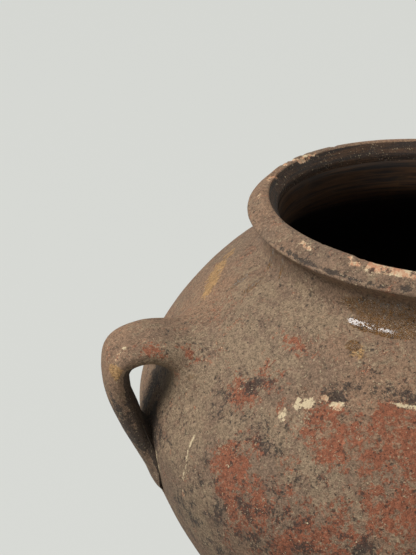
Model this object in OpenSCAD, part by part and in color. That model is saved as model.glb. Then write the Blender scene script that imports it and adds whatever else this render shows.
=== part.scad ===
// Wide-mouthed clay olive jar with two pulled strap handles.
// The pot is built up the way a potter builds it: a floor disc, a lower wall, a shoulder wall,
// a neck coil and a rim coil luted together on scarfed joints, two handles luted to the
// shoulder, and a thin glaze lining fired onto the inside.
// Millimetres, +Z up. The origin is the centre of the foot, and the handles lie along X.

/* [Body] */
// Height from the foot to the crest of the rim
jar_h = 345; // [325:5:380]
// Diameter of the belly, over the clay
belly_d = 360; // [330:5:390]
// Height of the belly above the foot
belly_h = 217; // [200:1:225]
// Diameter of the foot
foot_d = 160; // [130:5:190]
// Lean of the wall where it leaves the foot, from the vertical, in degrees
foot_flare = 20; // [10:1:28]
// Fullness of the wall above the foot, as the pull of the curve
foot_pull = 60; // [40:2:75]
// Fullness of the belly downwards
belly_pull_down = 66; // [45:2:75]
// Fullness of the belly upwards
belly_pull_up = 25; // [15:1:32]
// Fullness of the shoulder under the neck
shoulder_pull = 36; // [24:1:44]
// Slope of the shoulder under the neck, from the level, in degrees
shoulder_slope = 27; // [20:1:35]

/* [Clay] */
// Wall thickness at the belly
wall_t = 9.5; // [8:0.5:12]
// Wall thickness level across the foot of the wall
foot_wall_t = 13; // [11:0.5:16]
// Thickness of the floor disc
floor_t = 13; // [11:0.5:16]
// Radius of the hollow corner between the floor and the wall
floor_corner_r = 14; // [8:1:20]
// Roll on the outer edge of the foot
foot_round_r = 3; // [1.5:0.5:4]
// Width of the ring that the jar stands on
foot_ring_w = 16; // [12:1:22]
// Depth of the hollow under the floor, inside the ring
foot_hollow = 1.5; // [1:0.25:2.5]

/* [Neck and rim] */
// Outer diameter of the neck where it is narrowest
neck_d = 211; // [198:1:225]
// Thickness of the neck
neck_t = 9; // [7.5:0.5:10]
// Depth of the neck's narrowest place below the crest
neck_drop = 27; // [24:1:32]
// Radius of the hollow between the shoulder and the neck
neck_hollow_r = 10; // [7:1:14]
// How far the everted rim's edge stands out beyond the neck
rim_overhang = 10.5; // [6:0.5:14]
// Depth of the rim's edge below the crest
rim_drop = 9.5; // [8:0.5:12]
// Roll on the rim's edge
rim_edge_r = 2.5; // [1.5:0.25:3]
// How far the middle of the crest lies in from the neck's outside
crest_inset = 1; // [0:0.5:3]
// Width of the level land on the crest
crest_land_w = 4; // [3:0.5:5]
// Depth of the bevel inside the mouth
mouth_bevel_h = 8; // [6:0.5:10]

/* [Luted joints] */
// Depth of the seam between the lower wall and the shoulder wall, below the belly
belly_seam_drop = 67; // [58:1:97]
// Rise of each scarfed joint from the outside to the inside
scarf_h = 6; // [3:0.5:8]
// Height of the neck coil's scarf on the rim coil, below the crest
rim_seam_drop = 22; // [21:0.5:23.5]

/* [Handles] */
// How far the loop's middle line stands out beyond the belly
handle_stand = 15.5; // [12:0.5:26]
// Rise of the arm's middle line above the belly
arm_rise = 60; // [54:1:64]
// Rise of the loop's outermost place above the belly
bend_rise = 36; // [29:1:40]
// Drop of the leg's lower end below the belly
leg_drop = 37; // [28:1:40]
// Width of the strap along the loop
strap_w = 36; // [30:1:42]
// Thickness of the strap along the loop
strap_t = 15; // [12:0.5:17]
// Width of the flared root on the shoulder
root_w = 58; // [46:1:68]
// Depth of the flared root on the shoulder
root_t = 40; // [30:1:46]
// Width of the leg's smeared foot on the belly
leg_foot_w = 39; // [34:1:48]

/* [Glaze] */
// Thickness of the glaze lining
glaze_t = 0.8; // [0.5:0.1:1.2]
// Depth of the lining's upper edge below the bevel inside the mouth
glaze_drop = 4; // [3:0.5:7]

/* [Hidden] */

$fn = 96;
CURVE_STEPS = 14;     // samples on each long curve of the wall
CORNER_STEPS = 5;     // samples on each rolled or hollow corner
SOLVE_STEPS = 30;     // halvings that find a height on a curve

belly_r = belly_d / 2;
foot_r = foot_d / 2;
neck_r = neck_d / 2;
rim_r = neck_r + rim_overhang;
crest_r = neck_r - crest_inset;
neck_z = jar_h - neck_drop;
rim_edge_z = jar_h - rim_drop;
seat_r = foot_r + floor_t * tan(foot_flare);

clay_grey = [0.44, 0.37, 0.31];
clay_brown = [0.42, 0.30, 0.25];
clay_red = [0.50, 0.31, 0.25];
glaze_brown = [0.25, 0.16, 0.10];

// A point on the cubic curve that leaves a along da and reaches b along db
function curve_at(a, da, db, b, t) =
    let (u = 1 - t)
    u*u*u*a + 3*u*u*t*(a + da) + 3*u*t*t*(b - db) + t*t*t*b;

// Samples of that curve from t0 to t1
function curve(c, t0, t1, steps) =
    [for (i = [0:steps]) curve_at(c[0], c[1], c[2], c[3], t0 + (t1 - t0)*i/steps)];

// The t at which a rising curve passes height z
function t_at(c, z, lo = 0, hi = 1, left = SOLVE_STEPS) =
    left == 0 ? (lo + hi)/2
    : let (mid = (lo + hi)/2)
      curve_at(c[0], c[1], c[2], c[3], mid)[1] < z
      ? t_at(c, z, mid, hi, left - 1) : t_at(c, z, lo, mid, left - 1);

// An arc about a centre, from angle a0 to angle a1
function arc(centre, r, a0, a1, steps) =
    [for (i = [0:steps]) let (a = a0 + (a1 - a0)*i/steps) centre + r*[cos(a), sin(a)]];

function but_first(v) = [for (i = [1:len(v) - 1]) v[i]];
function reversed(v) = [for (i = [len(v) - 1:-1:0]) v[i]];

// A polyline with its inner corners rolled: each point is [x, z, radius of the roll]
function unit(v) = v / norm(v);
function roll(a, b, c) =
    let (u = unit([a[0] - b[0], a[1] - b[1]]), v = unit([c[0] - b[0], c[1] - b[1]]),
         half = acos(u*v)/2,
         reach = min(b[2]/tan(half), 0.45*norm([a[0] - b[0], a[1] - b[1]]),
                     0.45*norm([c[0] - b[0], c[1] - b[1]])),
         r = reach*tan(half), p = [b[0], b[1]],
         centre = p + unit(u + v)*r/sin(half),
         a0 = atan2((p + u*reach - centre)[1], (p + u*reach - centre)[0]),
         a1 = atan2((p + v*reach - centre)[1], (p + v*reach - centre)[0]),
         turn = a1 - a0 > 180 ? a1 - a0 - 360 : a1 - a0 < -180 ? a1 - a0 + 360 : a1 - a0)
    arc(centre, r, a0, a0 + turn, CORNER_STEPS);
function rolled(v) =
    [for (i = [0:len(v) - 1])
        each (i == 0 || i == len(v) - 1 || v[i][2] == 0
              ? [[v[i][0], v[i][1]]] : roll(v[i - 1], v[i], v[i + 1]))];

// Outside of the wall, in two curves that meet upright at the belly
hollow_centre = [neck_r + neck_hollow_r, neck_z];
shoulder_dir = [-cos(shoulder_slope), sin(shoulder_slope)];
shoulder_out = [sin(shoulder_slope), cos(shoulder_slope)];
foot_dir = [sin(foot_flare), cos(foot_flare)];
outer_low = [[seat_r, floor_t], foot_pull*foot_dir, [0, belly_pull_down], [belly_r, belly_h]];
outer_high = [[belly_r, belly_h], [0, belly_pull_up], shoulder_pull*shoulder_dir,
              hollow_centre - neck_hollow_r*shoulder_out];

// Inside of the wall, with its hollow corner at the floor
corner_x = seat_r - foot_wall_t - floor_corner_r*(1 - sin(foot_flare))/cos(foot_flare);
corner_centre = [corner_x, floor_t + floor_corner_r];
corner_top = corner_centre + floor_corner_r*[cos(foot_flare), -sin(foot_flare)];
inner_low = [corner_top, (foot_pull - floor_corner_r)*foot_dir, [0, belly_pull_down],
             [belly_r - wall_t, belly_h]];
inner_high = [[belly_r - wall_t, belly_h], [0, belly_pull_up], shoulder_pull*shoulder_dir,
              hollow_centre - (neck_hollow_r + neck_t)*shoulder_out];

// Places of the luted seams on those curves
belly_seam_h = belly_h - belly_seam_drop;
seam_out = t_at(outer_low, belly_seam_h);
seam_in = t_at(inner_low, belly_seam_h + scarf_h);
rim_seam_z = jar_h - rim_seam_drop;

outer_below = curve(outer_low, 0, seam_out, CURVE_STEPS);
outer_above = curve(outer_low, seam_out, 1, CURVE_STEPS/2);
outer_shoulder = curve(outer_high, 0, 1, CURVE_STEPS);
inner_below = curve(inner_low, 0, seam_in, CURVE_STEPS);
inner_above = curve(inner_low, seam_in, 1, CURVE_STEPS/2);
inner_shoulder = curve(inner_high, 0, 1, CURVE_STEPS);
corner_low = arc(corner_centre, floor_corner_r, -90, -(90 + foot_flare)/2, CORNER_STEPS);
corner_high = arc(corner_centre, floor_corner_r, -(90 + foot_flare)/2, -foot_flare, CORNER_STEPS);
hollow_out = arc(hollow_centre, neck_hollow_r, 270 - shoulder_slope, 180, CORNER_STEPS);
hollow_in = arc(hollow_centre, neck_hollow_r + neck_t, 270 - shoulder_slope, 180, CORNER_STEPS);

// Rim: up the neck, out under the edge, over the crest and down the bevel inside the mouth
undercut_h = 8;
undercut_r = 5;
crest_round_r = 2;
bevel_round_r = 5;
rim_outline = rolled([
    [neck_r, rim_seam_z, 0],
    [neck_r, rim_edge_z - undercut_h, undercut_r],
    [rim_r, rim_edge_z, rim_edge_r],
    [crest_r + crest_land_w/2, jar_h, crest_round_r],
    [crest_r - crest_land_w/2, jar_h, crest_round_r],
    [neck_r - neck_t, jar_h - mouth_bevel_h, bevel_round_r],
    [neck_r - neck_t, rim_seam_z + scarf_h, 0],
]);

// Foot: over the hollow, down to the standing ring, out and up the side
hollow_rise_w = 6;
ring_in_r = foot_r - foot_ring_w;
foot_outline = rolled([
    [0, foot_hollow, 0],
    [ring_in_r - hollow_rise_w, foot_hollow, 0],
    [ring_in_r, 0, 0],
    [foot_r, 0, foot_round_r],
    [seat_r, floor_t, 0],
]);

module spun(outline) rotate_extrude() polygon(outline);

module floor_disc() {
    color(clay_brown) spun(concat(foot_outline, reversed(corner_low), [[0, floor_t]]));
}

module lower_wall() {
    color(clay_brown)
        spun(concat(outer_below, reversed(inner_below), but_first(reversed(corner_high))));
}

module shoulder_wall() {
    color(clay_grey)
        spun(concat(outer_above, but_first(outer_shoulder),
                    reversed(inner_shoulder), but_first(reversed(inner_above))));
}

module neck_coil() {
    color(clay_grey)
        spun(concat(hollow_out, [[neck_r, rim_seam_z], [neck_r - neck_t, rim_seam_z + scarf_h]],
                    reversed(hollow_in)));
}

module rim_coil() {
    color(clay_red) spun(rim_outline);
}

// Inside face of the pot from the middle of the floor to the top of the glaze
inside_face = concat([[0, floor_t]], corner_low, but_first(corner_high), but_first(inner_below),
                     but_first(inner_above), but_first(inner_shoulder), but_first(hollow_in),
                     [[neck_r - neck_t, jar_h - mouth_bevel_h - glaze_drop]]);

// The same face moved into the pot by d
function moved_in(v, d) =
    [for (i = [0:len(v) - 1])
        let (a = v[max(i - 1, 0)], b = v[min(i + 1, len(v) - 1)], along = unit(b - a),
             p = v[i] + d*[-along[1], along[0]])
        [i == 0 ? 0 : p[0], p[1]]];

module glaze_lining() {
    color(glaze_brown) spun(concat(inside_face, reversed(moved_in(inside_face, glaze_t))));
}

// The whole pot's outside as one solid, which the handles are seated on
module seat_body() {
    spun(concat([[0, floor_t]], outer_below, but_first(outer_above), but_first(outer_shoulder),
                but_first(hollow_out), [[0, neck_z]]));
}

// Distance from the axis to the outside of the wall at height z
function wall_r(z) =
    let (c = z < belly_h ? outer_low : outer_high)
    curve_at(c[0], c[1], c[2], c[3], t_at(c, z))[0];

// Loop of a handle in its own upright plane, from the root inside the shoulder to the tip
// inside the belly. Each station is
// [distance from the axis, height, half width across the plane, half thickness in the plane]
half_w = strap_w/2;
half_t = strap_t/2;
handle_reach = belly_r + handle_stand;
arm_h = belly_h + arm_rise;
bend_h = belly_h + bend_rise;
leg_h = belly_h - leg_drop;
root_sink = 16;       // root's middle, in from the wall's outside
root_fall = 15;       // and below the arm
flare_fall = 4.5;      // middle of the flare, below the arm
arm_in = 16.5;        // arm's level stretch, in from the loop's reach
knuckle_in = 1.5;     // upper bend, in from the reach
knuckle_fall = 5.5;   // and below the arm
leg_in = 6;           // where the leg nears the belly, in from the reach
leg_fall = 20;        // and below the outermost place
press_rise = 25;      // where the leg is half sunk in the wall, above its lower end
smear_rise = 10;      // where it is smeared out thin
tip_sink = 5;         // its end, in from the wall's outside
root_r = wall_r(arm_h - root_fall) - root_sink;
arm_r = handle_reach - arm_in;
loop = [
    [root_r, arm_h - root_fall, root_w/2, root_t/2],
    [(root_r + arm_r)/2, arm_h - flare_fall, (root_w + strap_w)/4, (root_t + strap_t)/4.6],
    [arm_r, arm_h, half_w*1.12, half_t*1.06],
    [handle_reach - knuckle_in, arm_h - knuckle_fall, half_w*1.02, half_t*0.97],
    [handle_reach, bend_h, half_w*0.96, half_t],
    [handle_reach - leg_in, bend_h - leg_fall, half_w, half_t],
    [wall_r(leg_h + press_rise) + 0.5, leg_h + press_rise, leg_foot_w/2, half_t*0.66],
    [wall_r(leg_h + smear_rise), leg_h + smear_rise, leg_foot_w*0.43, half_t*0.36],
    [wall_r(leg_h) - tip_sink, leg_h, leg_foot_w/5, half_t/4],
];

// A smooth line through the stations
function through(a, b, c, d, t) =
    (2*b + (c - a)*t + (2*a - 5*b + 4*c - d)*t*t + (3*b - a - 3*c + d)*t*t*t)/2;
function station(i) =
    i < 0 ? 2*loop[0] - loop[1]
    : i >= len(loop) ? 2*loop[len(loop) - 1] - loop[len(loop) - 2] : loop[i];
LOOP_STEPS = 5;       // rings between two stations
STRAP_SIDES = 24;     // points round the strap
STRAP_SQUARE = 0.82;  // under 1, the strap's section is squarer than an ellipse
function squared(c) = sign(c)*pow(abs(c), STRAP_SQUARE);
loop_line = concat(
    [for (i = [0:len(loop) - 2]) for (k = [0:LOOP_STEPS - 1])
        through(station(i - 1), station(i), station(i + 1), station(i + 2), k/LOOP_STEPS)],
    [station(len(loop) - 1)]);

// One ring of the strap, square to its middle line
function strap_ring(i) =
    let (n = len(loop_line), p = loop_line[i], a = loop_line[max(i - 1, 0)],
         b = loop_line[min(i + 1, n - 1)], along = unit([b[0] - a[0], b[1] - a[1]]),
         across = [-along[1], along[0]])
    [for (k = [0:STRAP_SIDES - 1])
        let (turn = 360*k/STRAP_SIDES, out = p[3]*squared(cos(turn)), side = p[2]*squared(sin(turn)))
        [p[0] + out*across[0], side, p[1] + out*across[1]]];

module strap() {
    n = len(loop_line);
    s = STRAP_SIDES;
    points = [for (i = [0:n - 1]) each strap_ring(i)];
    walls = [for (i = [0:n - 2]) for (k = [0:s - 1])
                let (a = i*s + k, b = i*s + (k + 1) % s)
                each [[a, b, b + s], [a, b + s, a + s]]];
    caps = [for (k = [1:s - 2]) each [[0, k + 1, k],
                                      [(n - 1)*s, (n - 1)*s + k, (n - 1)*s + k + 1]]];
    polyhedron(points, concat(walls, caps), convexity = 6);
}

module handle() {
    color(clay_grey) difference() {
        strap();
        seat_body();
    }
}

module handle_left() {
    rotate([0, 0, 180]) handle();
}

module handle_right() {
    handle();
}

floor_disc();
lower_wall();
shoulder_wall();
neck_coil();
rim_coil();
handle_left();
handle_right();
glaze_lining();
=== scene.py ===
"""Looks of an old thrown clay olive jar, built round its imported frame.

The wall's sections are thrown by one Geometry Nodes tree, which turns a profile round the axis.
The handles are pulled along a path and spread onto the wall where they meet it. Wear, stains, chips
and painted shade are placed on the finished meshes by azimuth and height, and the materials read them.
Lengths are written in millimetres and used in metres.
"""
import math

import bpy
import numpy as np
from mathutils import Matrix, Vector


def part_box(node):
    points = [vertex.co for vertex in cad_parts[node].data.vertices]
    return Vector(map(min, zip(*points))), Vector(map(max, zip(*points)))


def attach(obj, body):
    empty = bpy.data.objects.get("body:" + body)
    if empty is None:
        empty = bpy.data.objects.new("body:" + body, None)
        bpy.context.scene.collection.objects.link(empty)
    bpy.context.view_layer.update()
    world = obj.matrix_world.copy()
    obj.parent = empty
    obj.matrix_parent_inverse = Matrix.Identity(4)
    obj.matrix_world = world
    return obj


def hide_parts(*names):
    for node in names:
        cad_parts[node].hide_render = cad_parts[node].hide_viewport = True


bl_info = {
    "name": "Olive Jar Looks",
    "version": (1, 0, 0),
    "blender": (4, 5, 0),
    "location": "View3D > Sidebar > Olive Jar",
    "description": "Dresses a packed olive jar in worn clay and glaze, on a pale floor",
    "category": "Object",
}

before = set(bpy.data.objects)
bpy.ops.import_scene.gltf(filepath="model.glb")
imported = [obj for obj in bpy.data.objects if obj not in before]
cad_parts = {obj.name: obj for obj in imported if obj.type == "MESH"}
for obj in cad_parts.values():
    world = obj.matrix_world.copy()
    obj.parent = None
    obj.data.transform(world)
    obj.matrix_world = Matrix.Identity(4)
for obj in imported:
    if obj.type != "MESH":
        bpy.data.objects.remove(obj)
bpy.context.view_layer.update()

MM = 0.001
TINY = 1e-9                  # metres within which two places are the same
FRAME_HEIGHT_PX = 555        # long side of the picture, which the lens is fitted to


def length(name, mm, description):
    """A length property, written in millimetres."""
    return bpy.props.FloatProperty(
        name=name, description=description, default=mm * MM, unit="LENGTH", subtype="DISTANCE")


def degrees(name, value, description):
    """An angle property, written in degrees."""
    return bpy.props.FloatProperty(
        name=name, description=description, default=math.radians(value), subtype="ANGLE")


def colour(name, value, description):
    """A colour property, in linear red, green and blue."""
    return bpy.props.FloatVectorProperty(
        name=name, description=description, default=value, size=3, subtype="COLOR", min=0, max=1)


def number(name, value, description):
    """A property that is a plain number."""
    return bpy.props.FloatProperty(name=name, description=description, default=value)


def count(name, value, description):
    """A property that is a whole number from 1 up."""
    return bpy.props.IntProperty(name=name, description=description, default=value, min=1)


class OliveJarWall(bpy.types.PropertyGroup):
    """Sizes of the thrown sections, which follow the frame."""

    height: length("Height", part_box("rim_coil")[1].z / MM, "From the foot to the crest")
    belly_d: length("Belly", 360, "Diameter of the belly")
    belly_h: length("Belly height", 217, "Height of the belly above the foot")
    foot_d: length("Foot", 160, "Diameter of the foot")
    foot_flare: degrees("Foot flare", 20, "Lean of the wall where it leaves the foot")
    foot_pull: length("Foot pull", 60, "Fullness of the wall above the foot")
    belly_pull_down: length("Belly pull down", 66, "Fullness of the belly downwards")
    belly_pull_up: length("Belly pull up", 25, "Fullness of the belly upwards")
    shoulder_pull: length("Shoulder pull", 36, "Fullness of the shoulder under the neck")
    shoulder_slope: degrees("Shoulder slope", 27, "Slope of the shoulder under the neck")
    wall_t: length("Wall", 9.5, "Thickness of the wall at the belly")
    foot_wall_t: length("Foot wall", 13, "Thickness of the wall at the foot")
    floor_t: length("Floor", 13, "Thickness of the floor")
    floor_corner_r: length("Floor corner", 14, "Radius of the hollow corner at the floor")
    foot_round_r: length("Foot roll", 3, "Roll on the outer edge of the foot")
    foot_ring_w: length("Foot ring", 16, "Width of the ring that the jar stands on")
    foot_hollow: length("Foot hollow", 1.5, "Depth of the hollow inside the ring")
    hollow_rise_w: length("Hollow rise", 6, "Width over which the hollow rises")
    neck_d: length("Neck", 211, "Outer diameter of the neck")
    neck_t: length("Neck wall", 9, "Thickness of the neck")
    neck_drop: length("Neck drop", 27, "Depth of the neck's narrowest place below the crest")
    neck_hollow_r: length("Neck hollow", 10, "Hollow between the shoulder and the neck")
    rim_overhang: length("Rim overhang", 10.5, "How far the rim stands out beyond the neck")
    rim_drop: length("Rim drop", 9.5, "Depth of the rim's edge below the crest")
    rim_edge_r: length("Rim edge", 2.5, "Roll on the rim's edge")
    crest_inset: length("Crest inset", 1, "How far the crest lies in from the neck's outside")
    crest_land_w: length("Crest land", 4, "Width of the level land on the crest")
    crest_round_r: length("Crest roll", 2, "Rolls on both sides of the land")
    mouth_bevel_h: length("Mouth bevel", 8, "Depth of the bevel inside the mouth")
    bevel_round_r: length("Bevel roll", 5, "Roll between the bevel and the neck")
    undercut_h: length("Undercut", 8, "Height of the undercut below the rim's edge")
    undercut_r: length("Undercut roll", 5, "Roll between the undercut and the neck")
    belly_seam_drop: length("Belly seam", 67, "Depth of the seam below the belly")
    scarf_h: length("Scarf", 6, "Rise of each scarfed joint")
    rim_seam_drop: length("Rim seam", 22, "Depth of the rim's seam below the crest")
    glaze_t: length("Glaze", 0.8, "Thickness of the glaze lining")
    glaze_drop: length("Glaze drop", 4, "Depth of the glaze's edge below the bevel")
    fine_step: length("Fine step", 1.75, "Spacing of the profile's points outside")
    rim_step: length("Rim step", 0.85, "Spacing of the profile's points on the rim")
    coarse_step: length("Coarse step", 6, "Spacing of the profile's points where hidden")
    glaze_step: length("Glaze step", 2.4, "Spacing of the profile's points on the glaze")
    turns: count("Turns", 640, "Steps of the throwing round the axis")
    glaze_turns: count("Glaze turns", 320, "Steps of the glaze round the axis")


class OliveJarHandle(bpy.types.PropertyGroup):
    """Sizes of the pulled handles, which follow the frame."""

    stand: length("Stand", 15.5, "How far the loop's middle stands out beyond the belly")
    arm_rise: length("Arm rise", 60, "Rise of the arm above the belly")
    bend_rise: length("Bend rise", 36, "Rise of the outermost place above the belly")
    leg_drop: length("Leg drop", 37, "Drop of the leg's end below the belly")
    strap_w: length("Strap width", 36, "Width of the strap")
    strap_t: length("Strap thickness", 15, "Thickness of the strap")
    root_w: length("Root width", 58, "Width of the flared root")
    root_t: length("Root depth", 40, "Depth of the flared root")
    leg_foot_w: length("Leg foot", 39, "Width of the leg's smeared foot")
    sunk: length("Sunk", 2.2, "Depth to which the clay's edge goes into the wall")
    root_spread: length("Root spread", 11, "Spread of the upper root onto the shoulder")
    leg_spread: length("Leg spread", 4.5, "Spread of the leg onto the belly")
    square: number("Squareness", 0.82, "Under 1, the strap's section is squarer than an ellipse")
    rows: count("Rows", 200, "Rings along the strap")
    sides: count("Sides", 96, "Points round the strap")


class OliveJarWear(bpy.types.PropertyGroup):
    """Unevenness of the throwing, and wear."""

    wobble: length("Wobble", 0.9, "Slow unevenness of the throwing")
    lumps: length("Lumps", 0.45, "Hand-sized unevenness")
    rings: length("Rings", 0.22, "Depth of the throwing rings")
    grain: length("Grain", 0.12, "Depth of the coarse grain")
    chips: length("Chips", 1.1, "Depth of the chips on the rim")
    groove: length("Groove", 0.7, "Depth of the groove on the rim's band")
    runs: length("Runs", 1.3, "Depth of the hollows between the runs under the rim")
    glaze_rings: length("Glaze rings", 0.2, "Depth of the throwing rings in the glaze")
    seed: count("Seed", 7, "Seed of the stains on the side that the picture doesn't show")


class OliveJarColours(bpy.types.PropertyGroup):
    """Colours of the clay, its stains and the glaze."""

    tan: colour("Tan slip", (0.300, 0.180, 0.108), "Weathered slip, the main colour")
    grey: colour("Grey slip", (0.225, 0.148, 0.096), "Greyer parts of the slip")
    brown: colour("Brown clay", (0.110, 0.060, 0.039), "Darker clay between the crusts")
    khaki: colour("Khaki crust", (0.300, 0.212, 0.132), "Pale greyish crust")
    rust: colour("Rust", (0.280, 0.090, 0.044), "Orange-red patches of bare clay")
    amber: colour("Amber glaze", (0.150, 0.070, 0.018), "Runs of lead glaze")
    ochre: colour("Ochre", (0.450, 0.260, 0.105), "Ochre stains")
    cream: colour("Cream", (0.800, 0.640, 0.400), "Chipped and chalky places")
    raw: colour("Raw clay", (0.620, 0.300, 0.170), "Orange clay in fresh chips")
    # This dark colour is grime and painted shade: soot and dirt, and the shade in corners and behind the
    # handles' loops
    grime: colour("Grime", (0.045, 0.034, 0.027), "Soot and dirt in corners")
    glaze: colour("Lining glaze", (0.078, 0.037, 0.016), "Brown glaze inside")
    # The dark lining colour is also painted shade, deep inside the jar
    dark_glaze_and_shade: colour("Dark lining", (0.006, 0.0035, 0.003), "Glaze deep inside")


class OliveJarStage(bpy.types.PropertyGroup):
    """Camera, lamps and floor."""

    camera: bpy.props.FloatVectorProperty(
        name="Camera", description="Place of the camera", size=3, subtype="TRANSLATION",
        default=(-273.8 * MM, -475.7 * MM, 551.4 * MM))
    heading: degrees("Heading", 15.5, "Turn of the camera about the jar's axis")
    pitch: degrees("Pitch", 25.88, "How far the camera looks down")
    focal_px: number("Focal length", 1000, "Focal length in picture elements")
    floor_r: length("Floor radius", 6000, "Radius of the floor")
    floor: colour("Floor", (0.700, 0.712, 0.678), "Pale floor and background")
    floor_bounce: number("Bounce", 0.4, "Share of its colour with which the floor lights the jar")
    floor_glow: number("Floor glow", 1.08, "Strength of the floor's own colour as it is seen")
    floor_even: number("Floor evenness", 0.86, "Share of the floor that shows no shadow")
    backdrop_glow: number("Backdrop glow", 0.975, "Strength of the background as it is seen")
    lamp_power: number("Lamp", 50, "Power of the large lamp, in watts")
    fill_power: number("Fill", 1.5, "Power of the fill lamp, in watts")
    sky: number("Sky", 0.20, "Strength of the even light all round")
    sky_colour: colour("Sky colour", (0.93, 0.97, 1.0), "Colour of the even light all round")


def settings(name):
    """One of the property groups that this file adds to the scene."""
    return getattr(bpy.context.scene, "olive_jar_" + name)


def unit(vectors):
    """The same directions at length 1."""
    return vectors / np.linalg.norm(vectors, axis=-1, keepdims=True)


def off_axis(points):
    """How far points lie from the jar's axis."""
    return np.hypot(points[:, 0], points[:, 1])


# Curves of the profile, as points (radius, height)
def cubic(start, leave, reach, end, steps=400):
    """The cubic curve that leaves start along leave and comes to end along reach."""
    start, leave, reach, end = (np.array(v, float) for v in (start, leave, reach, end))
    t = np.linspace(0, 1, steps + 1)[:, None]
    u = 1 - t
    return u**3 * start + 3 * u * u * t * (start + leave) + 3 * u * t * t * (end - reach) + t**3 * end


def arc(centre, radius, start_deg, end_deg, steps=60):
    """The arc round a centre between two angles."""
    angle = np.radians(np.linspace(start_deg, end_deg, steps + 1))[:, None]
    return np.array(centre) + radius * np.hstack([np.cos(angle), np.sin(angle)])


def rolled(corners, most=0.45):
    """A polyline of (radius, height, roll) with its inner corners rolled.

    A roll takes at most a share of the shorter side beside it.
    """
    path = [np.array([corners[0][:2]], float)]
    for before, (*place, roll), after in zip(corners, corners[1:], corners[2:]):
        place = np.array(place, float)
        if roll == 0:
            path.append(place[None])
            continue
        sides = [np.array(other[:2], float) - place for other in (before, after)]
        ways = [unit(side) for side in sides]
        half = math.acos(float(ways[0] @ ways[1])) / 2
        reach = min(roll / math.tan(half), most * min(np.linalg.norm(side) for side in sides))
        radius = reach * math.tan(half)
        centre = place + unit(ways[0] + ways[1]) * radius / math.sin(half)
        start, end = (math.degrees(math.atan2(*(place + way * reach - centre)[::-1])) for way in ways)
        turn = (end - start + 180) % 360 - 180
        path.append(arc(centre, radius, start, start + turn, steps=24))
    path.append(np.array([corners[-1][:2]], float))
    return np.vstack(path)


def reached(path, height):
    """Where a rising path reaches a height: the next point's number, and the place itself."""
    return int(np.searchsorted(path[:, 1], height)), [np.interp(height, path[:, 1], path[:, 0]), height]


def above(path, height):
    """The part of a rising path above a height, starting exactly there."""
    k, place = reached(path, height)
    return np.vstack([place, path[k:]])


def below(path, height):
    """The part of a rising path below a height, ending exactly there."""
    k, place = reached(path, height)
    return np.vstack([path[:k], place])


def spaced(path, step):
    """The same path with points about a step apart."""
    gone = np.concatenate([[0], np.cumsum(np.linalg.norm(np.diff(path, axis=0), axis=1))])
    places = np.linspace(0, gone[-1], max(2, int(round(gone[-1] / step))) + 1)
    return np.column_stack([np.interp(places, gone, path[:, k]) for k in range(path.shape[1])])


def right_of(path):
    """Directions square to a path, to its right as it runs: out of the clay on a skin."""
    along = unit(np.gradient(path, axis=0))
    return np.column_stack([along[:, 1], -along[:, 0]])


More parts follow.
